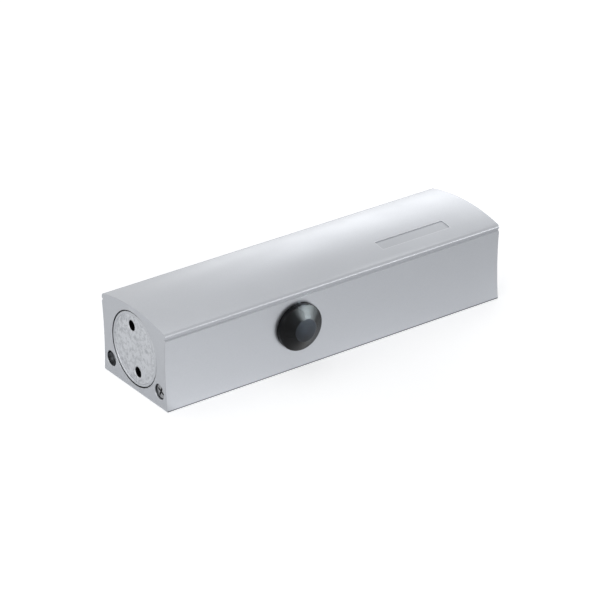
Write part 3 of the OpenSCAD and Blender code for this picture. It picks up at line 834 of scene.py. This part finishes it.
def makeAdjuster(s):
    low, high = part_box("power_adjust_screw")
    base, length = onBore(high.x), high.x - low.x
    neck, collar, tip = s["neckRadius"], s["collarRadius"], s["tip"]
    collarStart, collarEnd = s["neckEnd"], s["neckEnd"] + s["collarLength"]
    outline = [
        (neck - s["bevel"], 0), (neck, s["bevel"]),
        *ringGroove(neck, s["ringFloor"], s["ringAt"], s["ringHalf"]),
        (neck, collarStart), (collar - s["collarBevel"], collarStart),
        (collar, collarStart + s["collarBevel"]), (collar, collarEnd)]
    outline += threadRidges(s["threadRadius"], collarEnd, length - tip, s["threadPitch"])
    outline.append((s["threadRadius"] - tip, length))
    screw = turned("powerAdjustScrew", "-X", base, outline, s["sides"])
    corner = s["hexAcross"] / 2 / math.cos(math.pi / 6)
    cut(screw, turned("hexSocket", "-X", base, [
        (corner, -past), (corner, s["hexDepth"]), (s["hexTip"], s["hexDepth"] + s["hexCone"])], 6))
    outerSink, innerSink = s["sinkRadii"]
    cut(screw, turned("socketSink", "-X", base, [
        (outerSink, -s["sinkHalf"]), (innerSink, s["sinkHalf"])], 48))
    return finish(screw, "power_adjuster", "zinc_steel", "power_adjust_screw")


# compression springs, wound along X

springForms = {
    "springOuter": {"node": "spring_outer", "mean": 13.8 * mm, "wire": 2.2 * mm, "turns": 6},
    "springInner": {"node": "spring_inner", "mean": 7.6 * mm, "wire": 1.5 * mm, "turns": 9},
}
closedTurns = 0.75
closedGap = 0.5 * mm
stepsPerTurn = 32


def makeSpring(name, s):
    low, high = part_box(s["node"])
    start, end = low.x + s["wire"], high.x - s["wire"]
    closedPitch = 2 * s["wire"] + closedGap
    openPitch = (end - start - 2 * closedTurns * closedPitch) / (s["turns"] - 2 * closedTurns)
    curve = bpy.data.curves.new(name, "CURVE")
    curve.dimensions = "3D"
    curve.bevel_depth = s["wire"]
    curve.bevel_resolution = 4
    curve.use_fill_caps = True
    steps = s["turns"] * stepsPerTurn
    line = curve.splines.new("POLY")
    line.points.add(steps)
    for i in range(steps + 1):
        t = i / stepsPerTurn
        if t < closedTurns:
            x = start + t * closedPitch
        elif t > s["turns"] - closedTurns:
            x = end - (s["turns"] - t) * closedPitch
        else:
            x = start + closedTurns * closedPitch + (t - closedTurns) * openPitch
        angle = 2 * math.pi * t
        line.points[i].co = (x, s["mean"] * math.sin(angle), boreHeight - s["mean"] * math.cos(angle), 1)
    spring = bpy.data.objects.new(name, curve)
    bpy.context.scene.collection.objects.link(spring)
    pickOnly(spring)
    bpy.ops.object.convert(target="MESH")
    spring = bpy.context.object
    startEdit(spring)
    weldAndEnd(0.002 * mm)
    finish(spring, "housing", "spring_steel", s["node"], angle=50)
    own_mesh(spring)
    return spring


# shader nodes

# a setting is an attribute of the node, or a value or a link for one of its inputs
def node(tree, kind, settings):
    made = tree.nodes.new("ShaderNode" + kind)
    for key, value in settings.items():
        if isinstance(value, bpy.types.NodeSocket):
            tree.links.new(value, made.inputs[key])
        elif isinstance(key, str) and hasattr(made, key):
            setattr(made, key, value)
        else:
            made.inputs[key].default_value = value
    return made


def combine(tree, operation, *terms, kind="Math"):
    return node(tree, kind, {"operation": operation, **dict(enumerate(terms))}).outputs[0]


# noise runs from about 0.3 to 0.7, so that is what is stretched where nothing else is said
def remap(tree, value, low=0.0, high=1.0, fromLow=0.3, fromHigh=0.7):
    return node(tree, "MapRange", {
        "Value": value, "From Min": fromLow, "From Max": fromHigh, "To Min": low, "To Max": high,
    }).outputs["Result"]


def mixColour(tree, factor, first, second):
    first, second = ((*c, 1) if isinstance(c, tuple) else c for c in (first, second))
    return node(tree, "Mix", {
        "data_type": "RGBA", "Factor": factor, 6: first, 7: second}).outputs[2]


def noise(tree, vector, scale, detail, roughness):
    return node(tree, "TexNoise", {
        "Vector": vector, "Scale": scale, "Detail": detail, "Roughness": roughness}).outputs["Fac"]


def newGroup(name, inputs, outputs):
    group = bpy.data.node_groups.new(name, "ShaderNodeTree")
    for label, value in inputs.items():
        kind = "NodeSocketFloat" if isinstance(value, float) else "NodeSocketVector"
        group.interface.new_socket(label, in_out="INPUT", socket_type=kind).default_value = value
    for label in outputs:
        group.interface.new_socket(label, in_out="OUTPUT", socket_type="NodeSocketFloat")
    return group, group.nodes.new("NodeGroupInput").outputs, group.nodes.new("NodeGroupOutput").inputs


# long fine streaks, as drawing or brushing leaves them
def buildGrain():
    group, given, result = newGroup(
        "brushedGrain", {"Vector": (0, 0, 0), "Fine": 900.0, "Coarse": 160.0}, ("Streaks", "Bands"))
    group.links.new(noise(group, given["Vector"], given["Fine"], 4.0, 0.6), result["Streaks"])
    group.links.new(noise(group, given["Vector"], given["Coarse"], 2.0, 0.5), result["Bands"])
    return group


# small even pits and specks, as blasting, casting or moulding leaves them
def buildSpeckle():
    group, given, result = newGroup(
        "fineSpeckle", {"Vector": (0, 0, 0), "Scale": 1500.0}, ("Specks", "Clouds"))
    group.links.new(noise(group, given["Vector"], given["Scale"], 3.0, 0.7), result["Specks"])
    group.links.new(noise(group, given["Vector"], 28.0, 3.0, 0.55), result["Clouds"])
    return group


# light rubbed edges, from how sharply the surface turns
def buildEdgeRub():
    group, given, result = newGroup("edgeRub", {"Vector": (0, 0, 0), "Amount": 1.0}, ("Mask",))
    sharpness = node(group, "NewGeometry", {}).outputs["Pointiness"]
    patches = noise(group, given["Vector"], 240.0, 3.0, 0.5)
    broken = combine(group, "MULTIPLY", remap(group, sharpness, 0.0, 1.0, 0.52, 0.62), patches)
    scaled = node(group, "Math", {
        "operation": "MULTIPLY", "use_clamp": True, 0: broken, 1: given["Amount"]})
    group.links.new(scaled.outputs[0], result["Mask"])
    return group


# soft-edged box of space: 1 inside it and 0 outside
def buildZone():
    group, given, result = newGroup(
        "zoneMask",
        {"Vector": (0, 0, 0), "Low": (-1, -1, -1), "High": (1, 1, 1), "Soft": 0.2 * mm}, ("Mask",))
    vectors = "VectorMath"
    above = combine(group, "SUBTRACT", given["Vector"], given["Low"], kind=vectors)
    below = combine(group, "SUBTRACT", given["High"], given["Vector"], kind=vectors)
    nearer = combine(group, "MINIMUM", above, below, kind=vectors)
    inside = node(group, "SeparateXYZ", {0: nearer}).outputs
    least = combine(group, "MINIMUM", combine(group, "MINIMUM", inside["X"], inside["Y"]), inside["Z"])
    group.links.new(remap(group, least, 0.0, 1.0, 0.0, given["Soft"]), result["Mask"])
    return group


brushedGrain = buildGrain()
fineSpeckle = buildSpeckle()
edgeRub = buildEdgeRub()
zoneMask = buildZone()


def useGroup(tree, group, vector, **values):
    return node(tree, "Group", {"node_tree": group, "Vector": vector, **values}).outputs


def newFinish(name, **sockets):
    material = bpy.data.materials.new(name)
    material.use_nodes = True
    tree = material.node_tree
    shader = tree.nodes["Principled BSDF"]
    for key, value in sockets.items():
        shader.inputs[key.replace("_", " ")].default_value = value
    return material, tree, shader, node(tree, "TexCoord", {}).outputs["Object"]


# links the colour, the roughness and the bump of a finish to its shader
def setFinish(tree, shader, tone, rough, height, bump):
    tree.links.new(tone, shader.inputs["Base Color"])
    tree.links.new(rough, shader.inputs["Roughness"])
    strength, depth = bump
    made = node(tree, "Bump", {"Height": height, "Strength": strength, "Distance": depth})
    tree.links.new(made.outputs["Normal"], shader.inputs["Normal"])


# a zone is mirrored to both sides and ends or not, and has its two corners, the softness of
# its edge in millimetres, and its tone
def paintZones(tree, place, tone, zones):
    both = combine(tree, "ABSOLUTE", place, kind="VectorMath")
    for isMirrored, low, high, soft, colour in zones:
        vector = both if isMirrored else place
        zone = useGroup(tree, zoneMask, vector, Low=low, High=high, Soft=soft * mm)
        tone = mixColour(tree, zone["Mask"], tone, colour)
    return tone


# satin silver finish of the housing: a very fine blast, with painted shade in the bores, holes and
# groove and along the foot, and a painted highlight round the name field
satinSilver = {
    "dark": (0.413, 0.427, 0.453),
    "light": (0.449, 0.463, 0.490),
    "edge": (0.60, 0.62, 0.645),
    "bore": (0.09, 0.095, 0.105),
    "valveBoreShade": (0.15, 0.155, 0.163),
    # painted shade for the groove under the lip
    "groove": (0.395, 0.407, 0.431),
    "field": (0.392, 0.405, 0.430),
    "fieldRimHighlight": (0.51, 0.523, 0.548),
    "rough": (0.30, 0.36),
    "speckle": 2400.0,
    "rub": 0.35,
    "bump": (0.08, 0.02 * mm),
    "mouthDepth": 0.3 * mm,
    "endDepth": 0.2 * mm,
    "plugShadeReach": 21.2 * mm,
    "valveShadeReach": 4.4 * mm,
    "grooveShadeReach": (1.6 * mm, 0.15 * mm),
    "grooveWall": 0.08 * mm,
    "footShadowReach": (0.02 * mm, 0.6 * mm),
    "fieldEdge": 0.1 * mm,
    "fieldRimWidth": 0.5 * mm,
    "fieldDepth": 3 * mm,
}


# a zone over the name field, from below its floor upward, a little wider or narrower than it
def fieldZone(s, grow, soft, colour):
    reach = Vector((nameField["length"] / 2 + grow, nameField["width"] / 2 + grow))
    low = Vector((nameField["x"], nameField["y"])) - reach
    high = Vector((nameField["x"], nameField["y"])) + reach
    return False, (*low, crownHeight - s["fieldDepth"]), (*high, 1), soft, colour


def satinSilverFinish(s):
    material, tree, shader, place = newFinish("satinSilver", Metallic=1.0)
    speckle = useGroup(tree, fineSpeckle, place, Scale=s["speckle"])
    rub = useGroup(tree, edgeRub, place, Amount=s["rub"])
    tone = mixColour(tree, remap(tree, speckle["Specks"]), s["dark"], s["light"])
    tone = mixColour(tree, rub["Mask"], tone, s["edge"])
    mouth, end = halfLength - s["mouthDepth"], halfLength - s["endDepth"]
    plug, hole, valve = s["plugShadeReach"], s["valveShadeReach"], middleOf("closing_valve_screw")
    valveY = abs(valve.y)
    groove, (under, over) = housingForm["grooveHeight"], s["grooveShadeReach"]
    footLow, footHigh = s["footShadowReach"]
    tone = paintZones(tree, place, tone, [
        # painted shade: inside the housing the plug bores, the gaps round the plugs and the holes are
        # darkened
        (True, (-1, -1, boreHeight - plug), (mouth, plug, boreHeight + plug), 0.4, s["bore"]),
        # painted shade in the recesses of the two valve screws
        (True, (-1, valveY - hole, valve.z - hole), (mouth, valveY + hole, valve.z + hole),
         0.4, s["valveBoreShade"]),
        # painted shade in the groove under the lip
        (True, (-1, -1, groove - under), (end, halfWidth - s["grooveWall"], groove + over),
         0.3, s["groove"]),
        # painted shadow: a dark line along the foot, where the housing meets the floor, and round the
        # mouths of the holes there
        (True, (-1, -1, footLow), (end, 1, footHigh), 0.1, s["bore"]),
        # painted highlight: a lighter band round the edge of the name field
        fieldZone(s, s["fieldRimWidth"] - s["fieldEdge"], 0.1, s["fieldRimHighlight"]),
        fieldZone(s, -s["fieldEdge"], 0.05, s["field"])])
    rough = remap(tree, speckle["Clouds"], *s["rough"])
    setFinish(tree, shader, tone, rough, speckle["Specks"], s["bump"])
    return material


# cast and blasted plug faces and brighter rims, with painted shade in the spanner holes and everywhere
# deeper than the face
turnedAlloy = {
    "dark": (0.37, 0.382, 0.405),
    "light": (0.55, 0.565, 0.59),
    "rim": (0.47, 0.485, 0.51),
    "edge": (0.50, 0.52, 0.54),
    "bore": (0.03, 0.031, 0.034),
    "rough": (0.34, 0.48),
    "speckle": 1900.0,
    "cast": 480.0,
    "castRange": (0.36, 0.56),
    "castDepth": 2.0,
    "rub": 1.6,
    "bump": (0.45, 0.04 * mm),
    "rimDepth": 0.3 * mm,
    "boreDepths": (0.95 * mm, 9 * mm),
}


def turnedAlloyFinish(s):
    material, tree, shader, place = newFinish("turnedAlloy", Metallic=1.0)
    speckle = useGroup(tree, fineSpeckle, place, Scale=s["speckle"])["Specks"]
    cast = useGroup(tree, fineSpeckle, place, Scale=s["cast"])["Specks"]
    rub = useGroup(tree, edgeRub, place, Amount=s["rub"])
    tone = mixColour(tree, remap(tree, cast, 0.0, 1.0, *s["castRange"]), s["dark"], s["light"])
    rimZone = (True, (halfLength - s["rimDepth"], -1, -1), (1, 1, 1), 0.1, s["rim"])
    tone = paintZones(tree, place, tone, [rimZone])
    tone = mixColour(tree, rub["Mask"], tone, s["edge"])
    near, far = s["boreDepths"]
    # painted shade: the plugs are darkened everywhere deeper than their face, in the spanner holes and
    # the gap
    boreZone = (True, (halfLength - far, -1, -1), (halfLength - near, 1, 1), 0.3, s["bore"])
    tone = paintZones(tree, place, tone, [boreZone])
    height = combine(tree, "MULTIPLY_ADD", cast, s["castDepth"], speckle)
    setFinish(tree, shader, tone, remap(tree, speckle, *s["rough"]), height, s["bump"])
    return material


# plain machined steels: one finish, with its own tones for each use
steelTones = {
    "steel": {
        "name": "groundSteel", "dark": (0.33, 0.34, 0.36), "light": (0.50, 0.51, 0.53),
        "rough": (0.22, 0.36), "grain": (0.05, 1, 0.05)},
    "hard_steel": {
        "name": "hardSteel", "dark": (0.45, 0.46, 0.48), "light": (0.62, 0.63, 0.65),
        "rough": (0.12, 0.22), "grain": (0.3, 1, 0.3)},
    "zinc_steel": {
        "name": "zincSteel", "dark": (0.38, 0.385, 0.39), "light": (0.60, 0.60, 0.60),
        "rough": (0.22, 0.40), "grain": (0.1, 1, 1)},
    "valve": {
        "name": "valveSteel", "dark": (0.24, 0.245, 0.255), "light": (0.46, 0.465, 0.475),
        "rough": (0.25, 0.42), "grain": (1, 1, 1)},
    "spring_steel": {
        "name": "springSteel", "dark": (0.10, 0.105, 0.115), "light": (0.20, 0.205, 0.215),
        "rough": (0.30, 0.48), "grain": (1, 0.4, 0.4)},
}
steelGrain = {"fine": 1800.0, "coarse": 300.0, "rub": 1.5, "edgeGain": 1.25, "bump": (0.15, 0.02 * mm)}


def steelFinish(s):
    material, tree, shader, place = newFinish(s["name"], Metallic=1.0)
    along = node(tree, "Mapping", {"Vector": place, "Scale": s["grain"]}).outputs["Vector"]
    grain = useGroup(tree, brushedGrain, along, Fine=steelGrain["fine"], Coarse=steelGrain["coarse"])
    rub = useGroup(tree, edgeRub, place, Amount=steelGrain["rub"])
    tone = mixColour(tree, remap(tree, grain["Bands"]), s["dark"], s["light"])
    tone = mixColour(tree, rub["Mask"], tone, tuple(c * steelGrain["edgeGain"] for c in s["light"]))
    rough = remap(tree, grain["Streaks"], *s["rough"])
    setFinish(tree, shader, tone, rough, grain["Streaks"], steelGrain["bump"])
    return material


# moulded and rubber parts
mouldedTones = {
    "cap": {
        "name": "glossBlack", "dark": (0.002, 0.0022, 0.0026), "light": (0.004, 0.0043, 0.005),
        "rough": (0.20, 0.26), "level": 0.12, "bump": (0.04, 0.03 * mm),
        "front": (0.023, 0.0255, 0.031), "frontRough": 0.34, "frontDepth": 0.3 * mm},
    "seal": {
        "name": "sealRubber", "dark": (0.010, 0.010, 0.011), "light": (0.025, 0.025, 0.026),
        "rough": (0.5, 0.7), "level": 0.5, "bump": (0.25, 0.03 * mm)},
    "cage": {
        "name": "cageNylon", "dark": (0.52, 0.42, 0.24), "light": (0.66, 0.55, 0.34),
        "rough": (0.4, 0.55), "level": 0.5, "bump": (0.12, 0.03 * mm)},
}


def mouldedFinish(s):
    material, tree, shader, place = newFinish(s["name"], Metallic=0.0, Specular_IOR_Level=s["level"])
    speckle = useGroup(tree, fineSpeckle, place, Scale=1400.0)
    tone = mixColour(tree, remap(tree, speckle["Clouds"]), s["dark"], s["light"])
    rough = remap(tree, speckle["Clouds"], *s["rough"])
    if "front" in s:
        # the flat front is moulded a little duller than the cone
        frontCorner = (1, s["frontDepth"] - sideFace - capForm["height"], 1)
        disc = useGroup(tree, zoneMask, place, High=frontCorner, Soft=s["frontDepth"] / 2)["Mask"]
        tone = mixColour(tree, disc, tone, s["front"])
        rough = node(tree, "Mix", {"Factor": disc, 2: rough, 3: s["frontRough"]}).outputs[0]
    setFinish(tree, shader, tone, rough, speckle["Specks"], s["bump"])
    return material


finishFor = {"housing": satinSilverFinish(satinSilver), "plug": turnedAlloyFinish(turnedAlloy)}
for slotName, tones in steelTones.items():
    finishFor[slotName] = steelFinish(tones)
for slotName, tones in mouldedTones.items():
    finishFor[slotName] = mouldedFinish(tones)
print("finishes made")


# making and dressing

newPieces = [
    makeHousing(housingForm),
    makeLeftPlug(plugForm),
    makeRightPlug(plugForm),
    makeCap(capForm),
    makeValve("latching", valveForm),
    makeValve("closing", valveForm),
    makeSpindle(spindleForm),
    makeGland("Near", glandForm),
    makeGland("Far", glandForm),
    makeSeal("Near", sealForm),
    makeSeal("Far", sealForm),
    makeAdjuster(adjusterForm),
]
newPieces += [makeSpring(name, form) for name, form in springForms.items()]
for piece in newPieces:
    finishName = "valve" if "Valve" in piece.name else piece["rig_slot"]
    piece.data.materials.clear()
    piece.data.materials.append(finishFor[finishName])

slotFor = {part["node"]: part["material_slot"] for part in frame["record"]["subparts"]}
for nodeName, cadPiece in frame["nodes"].items():
    if not cadPiece.hide_render:
        for slot in cadPiece.material_slots:
            slot.material = finishFor[slotFor[nodeName]]
        print("finish for", nodeName)


# floor, world and lamps

# a ramp is two levels, and the two places in metres between which the level changes
studio = {
    "floorSize": 4.0,
    "floorGap": 0.05 * mm,
    "floorColour": (0.84, 0.84, 0.845),
    "glowMiddle": (-0.06, -0.06, 0),
    "nearRamp": (0.5, 0.62, 0.08, 0.25),
    "horizonRamp": (0.5, 0.97, 0.3, 1.3),
    # the mirrored, depth, end and body ramps paint light and shade on the floor that only reflections
    # show
    "mirroredRamp": (0.64, 0.34, -0.15, 0.2),
    "depthRamp": (0.84, 1.52, -0.1, -0.035),
    "endShadowRamp": (0.5, 0.42, -0.16, -0.112),
    "bodyRamp": (0.0, 1.0, -0.114, -0.1),
    "worldColour": (0.96, 0.98, 1.0),
    "worldStrength": 0.3,
}

overBody = (0.1, 0, 0.045)
lamps = [
    {"name": "backSoftbox", "from": (42, 22), "far": 0.6, "aim": overBody,
     "size": (0.4, 0.2), "watts": 0.235},
    {"name": "backEdge", "from": (59, 25), "far": 0.5, "aim": (0.12, 0, 0.045),
     "size": (0.25, 0.22), "watts": 0.18},
    {"name": "backStrip", "from": (38, 10), "far": 0.6, "aim": overBody,
     "size": (0.5, 0.1), "watts": 0.2},
    {"name": "topSoftbox", "from": (-40, 69), "far": 0.8, "aim": (0, 0, 0),
     "size": (0.8, 0.8), "watts": 1.7},
    {"name": "leftFill", "from": (-125, 35), "far": 0.45, "aim": (-0.12, -0.08, 0),
     "size": (0.3, 0.25), "watts": 0.66},
    {"name": "lipStrip", "from": (148, 4), "far": 1.0, "aim": (0, -0.03, 0.05),
     "size": (0.5, 0.16), "watts": 0.75},
]
# small shaded cards close to the cap, side by side, draw one soft streak on its cone;
# each has its azimuth, its height angle and its strength in milliwatts
capCards = (
    (168, 30.5, 0.11), (160, 31, 0.14), (152, 31, 0.17), (145, 29.5, 0.26), (138, 27, 0.33),
    (131, 23.5, 0.36), (124, 18.5, 0.25), (117, 13, 0.14), (111, 7, 0.08), (106, 0, 0.03),
    (101, -5, 0.022))
for turn, rise, strength in capCards:
    lamps.append({
        "name": "capCard", "from": (turn, rise), "far": 0.12, "aim": (-0.023, -0.035, 0.029),
        "size": (0.016, 0.016), "spread": 6, "watts": strength / 1000, "tint": (0.85, 0.96, 1.0)})


def raysThatSee(tree, *names):
    rays = node(tree, "LightPath", {}).outputs
    total = rays[names[0]]
    for name in names[1:]:
        total = combine(tree, "MAXIMUM", total, rays[name])
    return total


def makeWorld(s):
    world = bpy.data.worlds.new("studioWorld")
    bpy.context.scene.world = world
    world.use_nodes = True
    tree = world.node_tree
    soft = tree.nodes["Background"]
    soft.inputs["Color"].default_value = (*s["worldColour"], 1)
    soft.inputs["Strength"].default_value = s["worldStrength"]
    white = node(tree, "Background", {"Color": (1, 1, 1, 1), "Strength": 1.0})
    seen = raysThatSee(tree, "Is Camera Ray", "Is Glossy Ray", "Is Transmission Ray")
    mix = node(tree, "MixShader", {0: seen, 1: soft.outputs[0], 2: white.outputs[0]})
    tree.links.new(mix.outputs[0], tree.nodes["World Output"].inputs["Surface"])


# what the camera sees of the floor: white, but for the soft shadow round the body
def seenGlow(tree, place, s):
    apart = node(tree, "VectorMath", {"operation": "DISTANCE", 0: place, 1: s["glowMiddle"]})
    distance = apart.outputs["Value"]
    return combine(
        tree, "MAXIMUM", remap(tree, distance, *s["nearRamp"]), remap(tree, distance, *s["horizonRamp"]))


# what metal and gloss mirror of the floor, painted light and shade that only reflections show: paler to
# the left and close to the near side, and darker past the left end as a painted shadow
def mirroredGlow(tree, place, s):
    along = node(tree, "SeparateXYZ", {0: place}).outputs
    level = remap(tree, along["X"], *s["mirroredRamp"])
    depth = remap(tree, along["Y"], *s["depthRamp"])
    end = combine(
        tree, "MAXIMUM", remap(tree, along["X"], *s["endShadowRamp"]), remap(tree, along["X"], *s["bodyRamp"]))
    return combine(tree, "MULTIPLY", combine(tree, "MULTIPLY", level, depth), end)


# the floor keeps the shadow, and a little glow brings the open floor to white
def makeFloor(s):
    bpy.ops.mesh.primitive_plane_add(size=s["floorSize"], location=(0, 0, -s["floorGap"]))
    floor = bpy.context.object
    floor.name = "studioFloor"
    material, tree, shader, place = newFinish("paleFloor", Roughness=0.9, Specular_IOR_Level=0.0)
    shader.inputs["Base Color"].default_value = (*s["floorColour"], 1)
    shader.inputs["Emission Color"].default_value = (1, 1, 1, 1)
    cameraGlow = combine(tree, "MULTIPLY", raysThatSee(tree, "Is Camera Ray"), seenGlow(tree, place, s))
    mirrors = raysThatSee(tree, "Is Glossy Ray", "Is Transmission Ray")
    glow = combine(tree, "MULTIPLY_ADD", mirrors, mirroredGlow(tree, place, s), cameraGlow)
    tree.links.new(glow, shader.inputs["Emission Strength"])
    # from below the floor is clear, so the mounting face can be seen
    fromBelow = node(tree, "NewGeometry", {}).outputs["Backfacing"]
    clear = node(tree, "BsdfTransparent", {})
    bothSides = node(tree, "MixShader", {0: fromBelow, 1: shader.outputs[0], 2: clear.outputs[0]})
    tree.links.new(bothSides.outputs[0], tree.nodes["Material Output"].inputs["Surface"])
    floor.data.materials.append(material)


# a lamp stands at an azimuth (right of straight behind) and a height angle from its aim
def addLamp(s):
    turn, rise = (math.radians(angle) for angle in s["from"])
    away = Vector((math.sin(turn) * math.cos(rise), math.cos(turn) * math.cos(rise), math.sin(rise)))
    bpy.ops.object.light_add(type="AREA", location=Vector(s["aim"]) + away * s["far"])
    lamp = bpy.context.object
    lamp.name = s["name"]
    lamp.data.shape = "RECTANGLE"
    lamp.data.size, lamp.data.size_y = s["size"]
    lamp.data.spread = math.radians(s.get("spread", 180))
    lamp.data.energy = s["watts"]
    lamp.data.color = s.get("tint", (1, 1, 1))
    lamp.visible_camera = False
    lamp.rotation_euler = away.to_track_quat("Z", "Y").to_euler()


makeWorld(studio)
makeFloor(studio)
for lampSet in lamps:
    addLamp(lampSet)
bpy.context.scene.view_settings.view_transform = "Standard"
print("studio lit")
